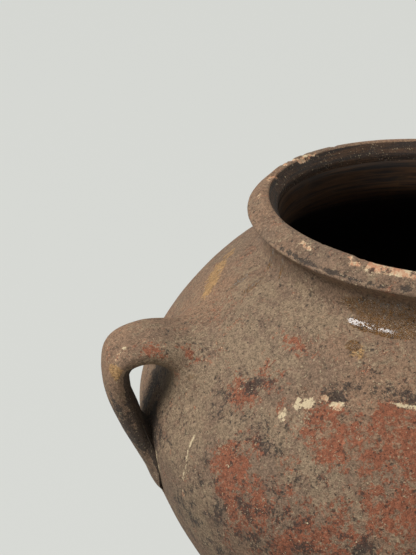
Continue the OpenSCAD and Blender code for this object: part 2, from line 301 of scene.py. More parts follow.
class Profile:
    """The jar's whole skin, from the middle of the foot over the crest to the middle of the floor."""

    def __init__(self, s):
        foot_r, neck_r = s.foot_d / 2, s.neck_d / 2
        neck_in_r, deep_r = neck_r - s.neck_t, s.neck_hollow_r + s.neck_t
        seam_z, rim_seam_z = s.belly_h - s.belly_seam_drop, s.height - s.rim_seam_drop
        seam_in_z, rim_seam_in_z = seam_z + s.scarf_h, rim_seam_z + s.scarf_h
        slope, flare = s.shoulder_slope, s.foot_flare
        seat = np.array([foot_r + s.floor_t * math.tan(flare), s.floor_t])
        hollow = np.array([neck_r + s.neck_hollow_r, s.height - s.neck_drop])
        up_foot = np.array([math.sin(flare), math.cos(flare)])
        up_shoulder = np.array([-math.cos(slope), math.sin(slope)])
        off_shoulder = np.array([math.sin(slope), math.cos(slope)])

        def wall(start, pull, belly_r, hollow_r):
            """The wall's curves below and above the belly."""
            belly = [belly_r, s.belly_h]
            return (cubic(start, pull * up_foot, [0, s.belly_pull_down], belly),
                    cubic(belly, [0, s.belly_pull_up], s.shoulder_pull * up_shoulder,
                          hollow - hollow_r * off_shoulder))

        def neck(hollow_r, top):
            """The hollow between the shoulder and the neck, and the neck up to its top."""
            return np.vstack([arc(hollow, hollow_r, 270 - math.degrees(slope), 180), top])

        # Hollow corner between the floor and the wall, which the seam of the floor disc splits
        corner_r, corner_end = s.floor_corner_r, -math.degrees(flare)
        corner_x = seat[0] - s.foot_wall_t - corner_r * (1 - math.sin(flare)) / math.cos(flare)
        corner = np.array([corner_x, s.floor_t + corner_r])
        split = (corner_end - 90) / 2
        corner_top = corner + corner_r * np.array([math.cos(flare), -math.sin(flare)])

        low, high = wall(seat, s.foot_pull, s.belly_d / 2, s.neck_hollow_r)
        low_in, high_in = wall(corner_top, s.foot_pull - corner_r, s.belly_d / 2 - s.wall_t, deep_r)
        ring_in_r = foot_r - s.foot_ring_w
        foot = rolled([(0, s.foot_hollow, 0), (ring_in_r - s.hollow_rise_w, s.foot_hollow, 0),
                       (ring_in_r, 0, 0), (foot_r, 0, s.foot_round_r), (*seat, 0)])
        edge_z, crest_r, half_land = s.height - s.rim_drop, neck_r - s.crest_inset, s.crest_land_w / 2
        rim = rolled([
            (neck_r, rim_seam_z, 0), (neck_r, edge_z - s.undercut_h, s.undercut_r),
            (neck_r + s.rim_overhang, edge_z, s.rim_edge_r),
            (crest_r + half_land, s.height, s.crest_round_r),
            (crest_r - half_land, s.height, s.crest_round_r),
            (neck_in_r, s.height - s.mouth_bevel_h, s.bevel_round_r), (neck_in_r, rim_seam_in_z, 0)])
        neck_in = neck(deep_r, [neck_in_r, rim_seam_in_z])
        shoulder_in = np.vstack([above(low_in, seam_in_z), high_in[1:]])
        lower_in = np.vstack([arc(corner, corner_r, split, corner_end), below(low_in, seam_in_z)[1:]])
        floor_in = np.vstack([[0, s.floor_t], arc(corner, corner_r, -90, split)])
        # Every part starts where the one before ends, so the inner ones run downwards
        self.parts = {
            "foot": (foot, s.fine_step),
            "lower_out": (below(low, seam_z), s.fine_step),
            "shoulder_out": (np.vstack([above(low, seam_z), high[1:]]), s.fine_step),
            "neck_out": (neck(s.neck_hollow_r, [neck_r, rim_seam_z]), s.rim_step),
            "rim": (rim, s.rim_step),
            "neck_in": (neck_in[::-1], s.coarse_step),
            "shoulder_in": (shoulder_in[::-1], s.coarse_step),
            "lower_in": (lower_in[::-1], s.coarse_step),
            "floor_in": (floor_in[::-1], s.coarse_step),
        }
        skin = self.joined(self.parts)
        # The join between two parts repeats a point, and the repeat is left out
        moved = np.linalg.norm(np.diff(skin, axis=0), axis=1) > TINY
        self.skin = skin[np.append(True, moved)]
        self.skin_out = right_of(self.skin)
        self.outside = self.joined(("lower_out", "shoulder_out", "neck_out"))
        self.outside_out = right_of(self.outside)

    def joined(self, names):
        """Parts of the skin, one after the other."""
        return np.vstack([self.parts[name][0] for name in names])

    def outward(self, points):
        """Directions that point out of the clay, at points of the skin."""
        near = ((points[:, None] - self.skin[None]) ** 2).sum(-1).argmin(1)
        return self.skin_out[near]

    def stretch(self, name):
        """Spaced points of a part, the directions out of it, and how much relief it takes."""
        points = spaced(*self.parts[name])
        return points, self.outward(points), 0.0 if name.endswith("_in") else 1.0

    def radius_at(self, height):
        """Radius of the wall's outside at a height."""
        return np.interp(height, self.outside[:, 1], self.outside[:, 0])

    def on_wall(self, azimuth, height, radius=None):
        """The place at an azimuth and height on the wall's outside, or at a distance from the axis.

        It takes degrees and millimetres.
        """
        radius = self.radius_at(height * MM) if radius is None else radius * MM
        turn = math.radians(azimuth)
        return np.array([radius * math.cos(turn), radius * math.sin(turn), height * MM])

    def off_wall(self, points, lot_size=4000):
        """How far points lie off the outside of the wall, and the wall's own direction there."""
        flat = np.column_stack([off_axis(points), points[:, 2]])
        far, way = np.empty(len(flat)), np.empty_like(points)
        for lot in np.array_split(np.arange(len(flat)), max(1, len(flat) // lot_size)):
            gap = flat[lot, None] - self.outside[None]
            near = (gap**2).sum(-1).argmin(1)
            out = self.outside_out[near]
            far[lot] = (gap[np.arange(len(lot)), near] * out).sum(-1)
            round_way = points[lot, :2] / np.maximum(flat[lot, :1], TINY)
            way[lot] = np.column_stack([round_way * out[:, :1], out[:, 1]])
        return far, way


# Large odd numbers that scatter the noise's cells, and the mask that keeps 16 bits
HASH_CELL = np.array([374761393, 668265263, 2147483647])
HASH_SEED, HASH_MIX, HASH_MASK = 1013904223, 1274126177, 0xFFFF


def lattice_noise(points, seed):
    """Smooth noise from -1 to 1 over cells of size 1, the same in every run."""
    cell = np.floor(points).astype(np.int64)
    part = points - cell
    part = part**3 * (part * (part * 6 - 15) + 10)
    total = np.zeros(len(points))
    for corner in np.ndindex(2, 2, 2):
        key = (cell + corner) @ HASH_CELL + seed * HASH_SEED
        key = (key ^ (key >> 13)) * HASH_MIX
        key = (key ^ (key >> 16)) & HASH_MASK
        share = np.prod(np.where(corner, part, 1 - part), axis=1)
        total += share * (key / (HASH_MASK / 2) - 1)
    return total


def layered_noise(points, layers, seed):
    """Up to three layers of noise, each half the size and half the strength of the one before."""
    total = sum(lattice_noise(points * 2**k, seed + k) / 2**k for k in range(layers))
    return total / (1 + 1 / 2 + 1 / 4)


def from_zero(noise):
    """Noise from -1 to 1, moved to run from 0 to 1."""
    return 0.5 + 0.5 * noise


def smooth_step(low, high, value):
    """Rises smoothly from 0 at low to 1 at high."""
    t = np.clip((value - low) / (high - low), 0, 1)
    return t * t * (3 - 2 * t)


def bell(offset, spread):
    """Falls from 1 where the offset is 0 to almost nothing at twice the spread."""
    return np.exp(-((offset / spread) ** 2))


# Sizes of the waves that wander through the form, with their strengths and seeds
WANDER = ((85 * MM, 0.6, 11), (34 * MM, 0.25, 12))
STILL_R, WANDER_R = 20 * MM, 60 * MM     # the wander starts and is full this far from the axis
LUMP_SIZE, GRAIN_SIZE = 26 * MM, 4.5 * MM
# Waves in a metre along x, y and z, many along z, so that the rings run round the jar
RING_WAVES, GLAZE_RING_WAVES = np.array([7, 7, 190]), np.array([5, 5, 130])


def uneven(points, wear):
    """Slow wander of the hand-thrown form, which moves everything at a place alike and only inwards."""
    across = off_axis(points)
    share = sum(lattice_noise(points / size, seed) * strength for size, strength, seed in WANDER)
    amount = -wear.wobble * from_zero(share) * smooth_step(STILL_R, WANDER_R, across)
    moved = points.copy()
    moved[:, :2] += amount[:, None] * points[:, :2] / np.maximum(across, TINY)[:, None]
    return moved


def clay_relief(points, wear):
    """Depth of lumps, throwing rings and grain on the outside."""
    lumps = wear.lumps * from_zero(layered_noise(points / LUMP_SIZE, 3, seed=21))
    rings = wear.rings * from_zero(layered_noise(points * RING_WAVES, 2, seed=22))
    grain = wear.grain * from_zero(layered_noise(points / GRAIN_SIZE, 2, seed=23))
    return -(lumps + rings + grain)


# Meshes
def points_of(mesh):
    """The mesh's points, one row each."""
    points = np.empty(len(mesh.vertices) * 3, np.float32)
    mesh.vertices.foreach_get("co", points)
    return points.reshape(-1, 3).astype(float)


def set_points(mesh, points):
    """Moves the mesh's points."""
    mesh.vertices.foreach_set("co", np.asarray(points, np.float32).ravel())
    mesh.update()


def read_field(mesh, name):
    """A field with one number or one direction for each point."""
    field = mesh.attributes[name]
    key, width = ("vector", 3) if field.data_type == "FLOAT_VECTOR" else ("value", 1)
    values = np.empty(len(mesh.vertices) * width, np.float32)
    field.data.foreach_get(key, values)
    return (values.reshape(-1, 3) if width == 3 else values).astype(float)


def write_field(mesh, name, values):
    """Writes a field with one number or one direction for each point."""
    values = np.asarray(values, np.float32)
    kind, key = ("FLOAT_VECTOR", "vector") if values.ndim == 2 else ("FLOAT", "value")
    field = mesh.attributes.get(name) or mesh.attributes.new(name, kind, "POINT")
    field.data.foreach_set(key, values.ravel())


def put_in_scene(name, data):
    """A new object in the scene."""
    obj = bpy.data.objects.new(name, data)
    bpy.context.scene.collection.objects.link(obj)
    return obj


class Wiring:
    """Adds nodes to one tree and joins them. A value is a socket to join or a plain constant."""

    def __init__(self, tree):
        self.tree = tree

    def feed(self, socket, value):
        """Joins a socket to a value. A constant colour is given as red, green and blue."""
        if isinstance(value, bpy.types.NodeSocket):
            self.tree.links.new(value, socket)
        else:
            socket.default_value = (*value, 1.0) if socket.type == "RGBA" else value

    def fill(self, node, values):
        """Feeds a node's inputs by name or number. None leaves one as it is."""
        for key, value in values.items():
            if value is not None:
                self.feed(node.inputs[key], value)
        return node

    def made(self, kind, values=None, **choices):
        """A new node with its choices set and its inputs fed."""
        node = self.tree.nodes.new(kind)
        for name, value in choices.items():
            setattr(node, name, value)
        return self.fill(node, values or {})

    def maths(self, operation, a, b=None):
        """One step of arithmetic."""
        return self.made("ShaderNodeMath", {0: a, 1: b}, operation=operation).outputs[0]

    def plus(self, a, b):
        return self.maths("ADD", a, b)

    def minus(self, a, b):
        return self.maths("SUBTRACT", a, b)

    def times(self, a, b):
        return self.maths("MULTIPLY", a, b)

    def larger(self, a, b):
        return self.maths("MAXIMUM", a, b)

    def weighted(self, *terms):
        """The sum of values, each given with its share."""
        *rest, last = [self.times(value, share) for value, share in terms]
        for part in reversed(rest):
            last = self.plus(part, last)
        return last

    def swing(self, noise, reach):
        """Noise from 0 to 1, turned into a swing about 0."""
        return self.times(self.minus(noise, 0.5), reach)

    def vector(self, operation, a, b=None, scale=None):
        """One step of arithmetic with vectors."""
        return self.made("ShaderNodeVectorMath", {0: a, 1: b, "Scale": scale},
                         operation=operation).outputs[0]

    def step(self, value, low, high):
        """Rises smoothly from 0 at low to 1 at high."""
        return self.made("ShaderNodeMapRange", {"Value": value, "From Min": low, "From Max": high},
                         interpolation_type="SMOOTHSTEP").outputs[0]

    def mix(self, share, a, b, blend="MIX"):
        """Goes from colour a to colour b as the share goes from 0 to 1."""
        return self.made("ShaderNodeMix", {0: share, 6: a, 7: b},
                         data_type="RGBA", blend_type=blend).outputs[2]

    def laid(self, under, over, mask, most=1.0):
        """One colour laid over another where a mask is, up to a share."""
        return self.mix(mask if most == 1.0 else self.times(mask, most), under, over)

    def noise(self, where, scale, detail, rough, output="Fac"):
        """Noise from 0 to 1, at a scale in waves to the metre."""
        return self.made("ShaderNodeTexNoise", {
            "Vector": where, "Scale": scale, "Detail": detail, "Roughness": rough}).outputs[output]

    def noises(self, where, scale, detail, rough):
        """Three noises of one scale that don't follow each other."""
        stirred = self.noise(where, scale, detail, rough, "Color")
        return self.made("ShaderNodeSeparateColor", {0: stirred}).outputs

    def ring_lines(self, where, squeeze, scale, rough):
        """Noise squeezed in height, which makes level lines round the jar."""
        squeezed = self.vector("MULTIPLY", where, (1.0, 1.0, squeeze))
        return self.noise(squeezed, scale, detail=4.0, rough=rough)

    def placed(self, group, values):
        """A node group's outputs, fed with values."""
        return self.made("ShaderNodeGroup", values, node_tree=group).outputs


def node_group(name, kind, inputs, outputs, build):
    """A node group with named sockets, built once."""
    if name in bpy.data.node_groups:
        return bpy.data.node_groups[name]
    tree = bpy.data.node_groups.new(name, kind)
    for way, sockets in (("INPUT", inputs), ("OUTPUT", outputs)):
        for label, socket in sockets.items():
            tree.interface.new_socket(label, in_out=way, socket_type="NodeSocket" + socket)
    w = Wiring(tree)
    w.made("NodeGroupOutput", build(w, w.made("NodeGroupInput").outputs))
    return tree


MERGE_GAP = 2e-6     # metres within which the thrown skin's points become one


def throwing_tree():
    """A profile of points is turned round the axis, with its outward directions and its relief."""
    def build(w, given):
        points, turns = given["Points"], given["Turns"]
        grid = w.made("GeometryNodeMeshGrid", {"Vertices X": w.plus(turns, 1.0), "Vertices Y": points})
        index = w.made("GeometryNodeInputIndex").outputs[0]
        column = w.maths("FLOORED_MODULO", index, points)
        turn = w.maths("FLOOR", w.maths("DIVIDE", index, points))
        angle = w.times(w.maths("DIVIDE", turn, turns), math.tau)

        def turned(value, data_type):
            sample = w.made("GeometryNodeSampleIndex", {
                "Geometry": given["Profile"], "Value": value, "Index": column}, data_type=data_type)
            if data_type == "FLOAT":
                return sample.outputs[0]
            return w.made("ShaderNodeVectorRotate", {"Vector": sample.outputs[0], "Angle": angle},
                          rotation_type="Z_AXIS").outputs[0]

        place = w.made("GeometryNodeInputPosition").outputs[0]
        shape = w.made("GeometryNodeSetPosition", {
            "Geometry": grid.outputs[0], "Position": turned(place, "FLOAT_VECTOR")}).outputs[0]
        for field, data_type in (("outward", "FLOAT_VECTOR"), ("relief", "FLOAT")):
            known = w.made("GeometryNodeInputNamedAttribute", {"Name": field}, data_type=data_type)
            value = turned(known.outputs[0], data_type)
            shape = w.made("GeometryNodeStoreNamedAttribute", {
                "Geometry": shape, "Name": field, "Value": value},
                data_type=data_type, domain="POINT").outputs[0]
        for kind, values in (("GeometryNodeMergeByDistance", {"Distance": MERGE_GAP}),
                             ("GeometryNodeSetShadeSmooth", {}),
                             ("GeometryNodeRealizeInstances", {}),
                             ("GeometryNodeSetMaterial", {"Material": given["Clay"]})):
            shape = w.made(kind, {"Geometry": shape, **values}).outputs[0]
        return {"Thrown": shape}

    inputs = {"Profile": "Geometry", "Points": "Int", "Turns": "Int", "Clay": "Material"}
    return node_group("Throw a profile", "GeometryNodeTree", inputs, {"Thrown": "Geometry"}, build)


def run_tree(obj, tree, inputs):
    """Runs a tree on obj and returns the result as a plain mesh."""
    modifier = obj.modifiers.new("tree", "NODES")
    modifier.node_group = tree
    for item in tree.interface.items_tree:
        if item.in_out == "INPUT" and item.name in inputs:
            modifier[item.identifier] = inputs[item.name]
    depsgraph = bpy.context.evaluated_depsgraph_get()
    mesh = bpy.data.meshes.new_from_object(obj.evaluated_get(depsgraph), depsgraph=depsgraph)
    obj.modifiers.remove(modifier)
    return mesh


def throw(name, stretches, turns, material):
    """Turns stretches of the profile, each (points, outward, relief), into one closed section."""
    points, outward = (np.vstack([stretch[k] for stretch in stretches]) for k in (0, 1))
    relief = np.concatenate([np.full(len(stretch[0]), stretch[2]) for stretch in stretches])
    # A section that leaves the axis free is a ring, so its outline comes back to its start
    if points[0, 0] > TINY:
        points, outward = np.vstack([points, points[:1]]), np.vstack([outward, outward[:1]])
        relief = np.append(relief, relief[0])
    line = bpy.data.meshes.new(name + "_profile")
    line.from_pydata(np.insert(points, 1, 0, axis=1).tolist(), [], [])
    write_field(line, "outward", np.insert(outward, 1, 0, axis=1))
    write_field(line, "relief", relief)
    carrier = put_in_scene(name + "_profile", line)
    mesh = run_tree(carrier, throwing_tree(), {
        "Points": len(points), "Turns": turns, "Clay": material})
    bpy.data.objects.remove(carrier)
    mesh.name = name
    return mesh


def face_outwards(mesh):
    """Turns the faces of a closed mesh outwards, going by its volume."""
    points = points_of(mesh)
    mesh.calc_loop_triangles()
    corners = np.empty(len(mesh.loop_triangles) * 3, np.int32)
    mesh.loop_triangles.foreach_get("vertices", corners)
    a, b, c = (points[corners.reshape(-1, 3)[:, k]] for k in range(3))
    if (a * np.cross(b, c)).sum() < 0:
        mesh.flip_normals()


def press(mesh, depth, wear):
    """Moves a mesh's points by a depth along their outward directions, and lets the form wander."""
    points = points_of(mesh) + read_field(mesh, "outward") * depth[:, None]
    set_points(mesh, uneven(points, wear))


SHARP_EDGE = math.radians(48)     # faces that meet at more than this keep a sharp edge


def finish_piece(name, mesh, node):
    """Puts a piece in the scene in place of its node."""
    mesh.set_sharp_from_angle(angle=SHARP_EDGE)
    obj = put_in_scene(name, mesh)
    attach(obj, "root")
    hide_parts(node)


# Stains, crusts, chips and painted shade. Each is (azimuth, height, half width, half length, tilt,
# strength), in degrees and millimetres, and lies on the wall, or at a seventh value's distance from the
# axis.
STAINS = {
    "khaki": [
        (-163, 287, 40, 30, 0, 0.95), (-171, 262, 32, 40, 0, 0.95), (-166, 240, 24, 34, 0, 0.8),
        (-156, 308, 34, 14, 0, 0.9), (-174, 302, 30, 18, 0, 0.8), (170, 306, 16, 14, 0, 0.7),
        (-146, 268, 30, 12, 0, 0.85), (-138, 258, 22, 14, 0, 0.8), (-155, 258, 18, 16, 0, 0.8),
        (-131, 246, 18, 14, 0, 0.7), (-160, 205, 26, 34, 0, 0.8), (-136, 306, 30, 8, 0, 0.5)],
    "rust": [
        (-151, 240, 22, 28, 0, 0.95), (-145, 226, 30, 20, 0, 0.85), (-123, 284, 30, 13, 0, 0.95),
        (-120, 268, 26, 16, 0, 0.95), (-134, 266, 18, 10, 0, 0.85), (-121, 248, 30, 20, 0, 0.95),
        (-130, 234, 28, 16, 0, 0.85), (-158, 272, 16, 14, 0, 0.75), (-153, 284, 14, 10, 0, 0.7),
        (-152, 298, 16, 6, 0, 0.6), (-138, 281, 18, 9, 0, 0.8), (-139, 216, 26, 20, 0, 0.85),
        (-174, 283, 12, 5, 10, 0.85, 181), (-172, 280, 10, 6, 0, 0.8, 160),
        (-135, 225, 70, 40, 0, 0.75), (-128, 275, 60, 22, 0, 0.8)],
    "amber": [
        (-131, 319, 40, 9, 0, 1.0), (-133, 312, 26, 6, 0, 1.0), (-112, 318, 40, 9, 0, 1.0),
        (-138.5, 304.5, 6, 5, 0, 0.9), (178, 317, 3, 10, 0, 0.9), (-173, 318, 3, 10, 0, 0.9),
        (-179, 306, 4, 13, 12, 0.9), (175, 303, 4, 13, 14, 0.85), (-171, 266, 9, 8, 0, 0.6, 158)],
    "ochre": [
        (163, 293, 30, 11, -20, 1.0), (154, 299, 12, 8, 0, 0.8), (-137, 303, 9, 7, 0, 0.7),
        (-175.5, 270, 8, 6, 0, 1.0, 200)],
    "cream": [
        (-142.6, 281.5, 6, 4, 30, 1.0), (-144.6, 279, 3.5, 5, 0, 1.0), (-146.5, 273, 3, 5, 0, 0.8),
        (-121, 289, 17, 1.7, -2, 1.0), (-163, 237, 1.4, 20, 6, 0.9), (-173, 212, 2, 10, 15, 0.8),
        (-175.5, 214, 1.6, 8, -12, 0.7), (-177, 283, 2.5, 2, 0, 0.9, 195)],
    # Grime, with painted shade among it: the mark at 196 from the axis shades the handle's leg, and those
    # from azimuth 176 round to -178, 226 to 262 high, are the painted shadow on the wall behind the loop.
    # The two widest darken the lower body.
    "grime": [
        (-140, 215, 90, 52, 0, 0.5), (-158, 195, 60, 40, 0, 0.45), (-125, 292, 44, 9, 0, 0.6),
        (-150, 262, 34, 14, 0, 0.5), (-176, 232, 34, 30, 0, 0.85, 196), (-155, 279, 18, 9, 0, 0.8),
        (-161, 262, 12, 14, 0, 0.55), (-130, 292, 28, 6, 0, 0.62), (-137, 286, 11, 6, 0, 0.66),
        (-152, 214, 14, 20, 0, 0.6), (-126, 228, 18, 14, 0, 0.6), (-173, 283, 9, 4, 20, 0.7, 172),
        (-178, 226, 16, 20, 0, 1.0), (176, 240, 14, 34, 0, 0.75), (-179, 262, 16, 12, 0, 0.7)],
    "raw": [
        (-162.5, 211, 2.6, 4.4, 10, 1.0), (-137, 284, 6, 4, 0, 0.8),
        (-176.5, 279, 2, 6, 30, 0.8, 197), (-140, 285, 5, 3, 0, 0.7)],
}
# Stains on the side that the picture doesn't show, in the same mix. Each kind has how many it
# draws, their half width and half length, and the lowest and highest that they lie.
UNSEEN = {"khaki": (9, 46, 34, 40, 300), "rust": (9, 40, 28, 40, 300), "amber": (5, 34, 9, 306, 318),
          "ochre": (5, 12, 26, 40, 300), "cream": (5, 8, 4, 40, 300)}
UNSEEN_AZIMUTHS, UNSEEN_TILTS = (-108, 146), (-25, 25)
UNSEEN_SIZES, UNSEEN_STRENGTHS = (0.6, 1.3), (0.5, 1)
STAIN_DEPTH = 8                        # least reach of a stain into and off the wall
STAIN_EDGE, STAIN_RISE = 0.15, 1.3     # strength just inside its edge, and how fast it rises inwards
# Pits in the outside. Each is (azimuth, height, radius, depth), in degrees and millimetres.
PITS = [(-156, 277, 2.6, 1.6), (-143.5, 285, 3.4, 1.5), (-138, 284, 4.2, 1.8), (-158, 262, 2.2, 1.4),
        (-165, 250, 1.8, 1.0), (-150, 300, 2.2, 0.9), (-147, 240, 2.0, 1.2), (-131, 268, 2.4, 1.2),
        (-142, 255, 1.8, 1.0), (-153, 292, 1.8, 0.9), (-134, 297, 2.0, 0.8), (-128, 258, 2.0, 1.0)]
PIT_LIP, PIT_LIP_R, PIT_LIP_W = 0.25, 1.6, 0.5     # shares of a pit's depth and radius


def all_stains(seed):
    """The placed stains, and drawn ones on the side that the picture doesn't show."""
    draw = np.random.default_rng(seed)
    stains = {kind: list(marks) for kind, marks in STAINS.items()}
    for kind, (how_many, wide, tall, lowest, highest) in UNSEEN.items():
        for _ in range(how_many):
            azimuth, height = draw.uniform(*UNSEEN_AZIMUTHS), draw.uniform(lowest, highest)
            size, tilt = draw.uniform(*UNSEEN_SIZES), draw.uniform(*UNSEEN_TILTS)
            strength = draw.uniform(*UNSEEN_STRENGTHS)
            stains[kind].append((azimuth, height, wide * size, tall * size, tilt, strength))
    return stains


def stain_field(points, profile, marks):
    """How strongly each point lies in a stain, from 0 at its edge to its strength."""
    field = np.zeros(len(points))
    for azimuth, height, wide, tall, tilt, strength, *radius in marks:
        centre = profile.on_wall(azimuth, height, *radius)
        _, (out,) = profile.off_wall(centre[None])
        a, turn = math.radians(azimuth), math.radians(tilt)
        east = np.array([-math.sin(a), math.cos(a), 0])
        x, y, z = ((points - centre) @ way for way in (east, np.cross(out, east), out))
        across = (x * math.cos(turn) + y * math.sin(turn)) / (wide * MM)
        upward = (y * math.cos(turn) - x * math.sin(turn)) / (tall * MM)
        deep = z / (max(wide, tall, STAIN_DEPTH) * MM)
        inside = 1 - np.sqrt(across**2 + upward**2 + deep**2)
        level = np.clip(inside * STAIN_RISE + STAIN_EDGE, 0, 1) * (inside > 0)
        field = np.maximum(field, strength * level)
    return field


def paint(mesh, profile, stains):
    """Writes a field for each kind of stain and of painted shade, over what the mesh has of that kind."""
    points = points_of(mesh)
    for kind, marks in stains.items():
        field = stain_field(points, profile, marks)
        if kind in mesh.attributes:
            field = np.maximum(field, read_field(mesh, kind))
        write_field(mesh, kind, field)


# Wear on the rim. Azimuths and their spreads are in degrees
WORN_STRETCHES = ((-126, 26, 0.8625), (20, 40, 0.3))     # azimuth, spread and strength
CHIP_START, CHIP_FULL = 4.5 * MM, 1 * MM     # depths below the crest
CHIP_SIZE, CHIP_PATCH_SIZE = 6 * MM, 50 * MM
CHIP_NOISE = 0.30, 0.75                      # noise at which clay starts to break away and is gone
GROOVE_AZIMUTH, GROOVE_SPREAD = -150, 24
GROOVE_LIFT, GROOVE_W = 2 * MM, 1.2 * MM     # above the rim's edge, and half its width
GROOVE_REACH = 4 * MM                        # it ends this far below its middle
RUNS_AZIMUTH, RUNS_SPREAD = -176, 14
RUN_TURN, RUN_TALL = 1.7, 45 * MM            # size of a run round the neck, in degrees, and up it
RUN_NOISE = -0.2, 0.6                        # noise at which a hollow starts and is full
RUNS_FOOT, RUNS_TOP = (298 * MM, 308 * MM), (328 * MM, 337 * MM)     # heights where the runs fade


def pit_depth(points, profile):
    """Depth of the pits, which have a soft raised lip round a hollow."""
    depth = np.zeros(len(points))
    for azimuth, height, radius, deep in PITS:
        far = np.linalg.norm(points - profile.on_wall(azimuth, height), axis=1) / (radius * MM)
        depth += deep * MM * (bell(far, 1) - PIT_LIP * bell(far - PIT_LIP_R, PIT_LIP_W))
    return depth


def chips(points, azimuths, wall):
    """How far each point of the crest is chipped away, most on its worn stretches."""
    crest = smooth_step(wall.height - CHIP_START, wall.height - CHIP_FULL, points[:, 2])
    patches = 0.5 * lattice_noise(points / CHIP_PATCH_SIZE, seed=32)
    worn = sum(strength * bell(azimuths - azimuth, spread)
               for azimuth, spread, strength in WORN_STRETCHES)
    rough = layered_noise(points / CHIP_SIZE, 3, seed=31) + patches + worn
    return crest * smooth_step(*CHIP_NOISE, rough)


def groove(points, azimuths, wall):
    """A groove along a stretch of the rim's band, just above its edge."""
    off = points[:, 2] - (wall.height - wall.rim_drop + GROOVE_LIFT)
    return bell(off, GROOVE_W) * bell(azimuths - GROOVE_AZIMUTH, GROOVE_SPREAD) * (off > -GROOVE_REACH)


def runs(points, azimuths):
    """Hollows between the runs under the rim."""
    heights = points[:, 2]
    noise = lattice_noise(np.column_stack([azimuths / RUN_TURN, heights / RUN_TALL, heights]), seed=33)
    band = smooth_step(*RUNS_FOOT, heights) * (1 - smooth_step(*RUNS_TOP, heights))
    off = (azimuths - RUNS_AZIMUTH + 180) % 360 - 180
    return smooth_step(*RUN_NOISE, noise) * band * bell(off, RUNS_SPREAD)


# Shader groups
def ragged_group():
    """A soft field becomes a mask with a ragged edge."""
    def build(w, given):
        value = w.plus(given["Field"], w.swing(given["Noise"], given["Spread"]))
        return {"Mask": w.step(value, 0.42, 0.58)}

    inputs = {"Field": "Float", "Noise": "Float", "Spread": "Float"}
    return node_group("Ragged edge", "ShaderNodeTree", inputs, {"Mask": "Float"}, build)


def grain_group():
    """Sandy grain: a tone to multiply by, a height, pale grit and dark pits."""
    def build(w, given):
        stirred = w.noise(given["Where"], 260.0, detail=2.0, rough=0.5, output="Color")
        swirl = w.vector("SCALE", w.vector("SUBTRACT", stirred, (0.5, 0.5, 0.5)), scale=3.5 * MM)
        where = w.vector("ADD", given["Where"], swirl)
        fine = w.noise(where, 1500.0, detail=2.0, rough=0.7)
        coarse = w.noise(where, 520.0, detail=4.0, rough=0.7)
        both = w.weighted((fine, 0.5), (coarse, 0.5))
        tone = w.made("ShaderNodeMapRange", {
            "Value": both, "From Min": 0.33, "From Max": 0.67, "To Min": 0.22, "To Max": 1.78}).outputs[0]
        crowd = w.step(w.noise(given["Where"], 55.0, detail=4.0, rough=0.65), 0.46, 0.66)

        def specks(scale, shift, share, size):
            """Round specks in a share of the cells of one scale, and in more of them where they crowd."""
            moved = w.vector("ADD", where, (shift,) * 3)
            cells = w.made("ShaderNodeTexVoronoi", {"Vector": moved, "Scale": scale}).outputs
            pick = w.made("ShaderNodeSeparateColor", {0: cells["Color"]}).outputs[0]
            crowded = w.times(share, w.plus(0.25, w.times(crowd, 1.5)))
            near = w.minus(1.0, w.step(cells["Distance"], size * 0.4, size))
            return w.times(w.maths("LESS_THAN", pick, crowded), near)

        grit = w.larger(specks(700.0, shift=0.0, share=0.12, size=0.42),
                        specks(1100.0, shift=3.0, share=0.14, size=0.45))
        pits = w.larger(specks(330.0, shift=7.0, share=0.16, size=0.40),
                        specks(620.0, shift=9.0, share=0.20, size=0.42))
        height = w.plus(both, w.times(w.minus(grit, pits), 0.5))
        return {"Tone": tone, "Height": height, "Grit": grit, "Pits": pits}

    outputs = dict.fromkeys(("Tone", "Height", "Grit", "Pits"), "Float")
    return node_group("Sandy grain", "ShaderNodeTree", {"Where": "Vector"}, outputs, build)


def new_material(name):
    """A new material with its wiring, its surface and the place on the piece that it colours."""
    material = bpy.data.materials.new(name)
    material.use_nodes = True
    material.node_tree.nodes.clear()
    w = Wiring(material.node_tree)
    surface = w.made("ShaderNodeBsdfPrincipled")
    w.made("ShaderNodeOutputMaterial", {"Surface": surface.outputs[0]})
    return material, w, surface, w.made("ShaderNodeTexCoord").outputs["Object"]


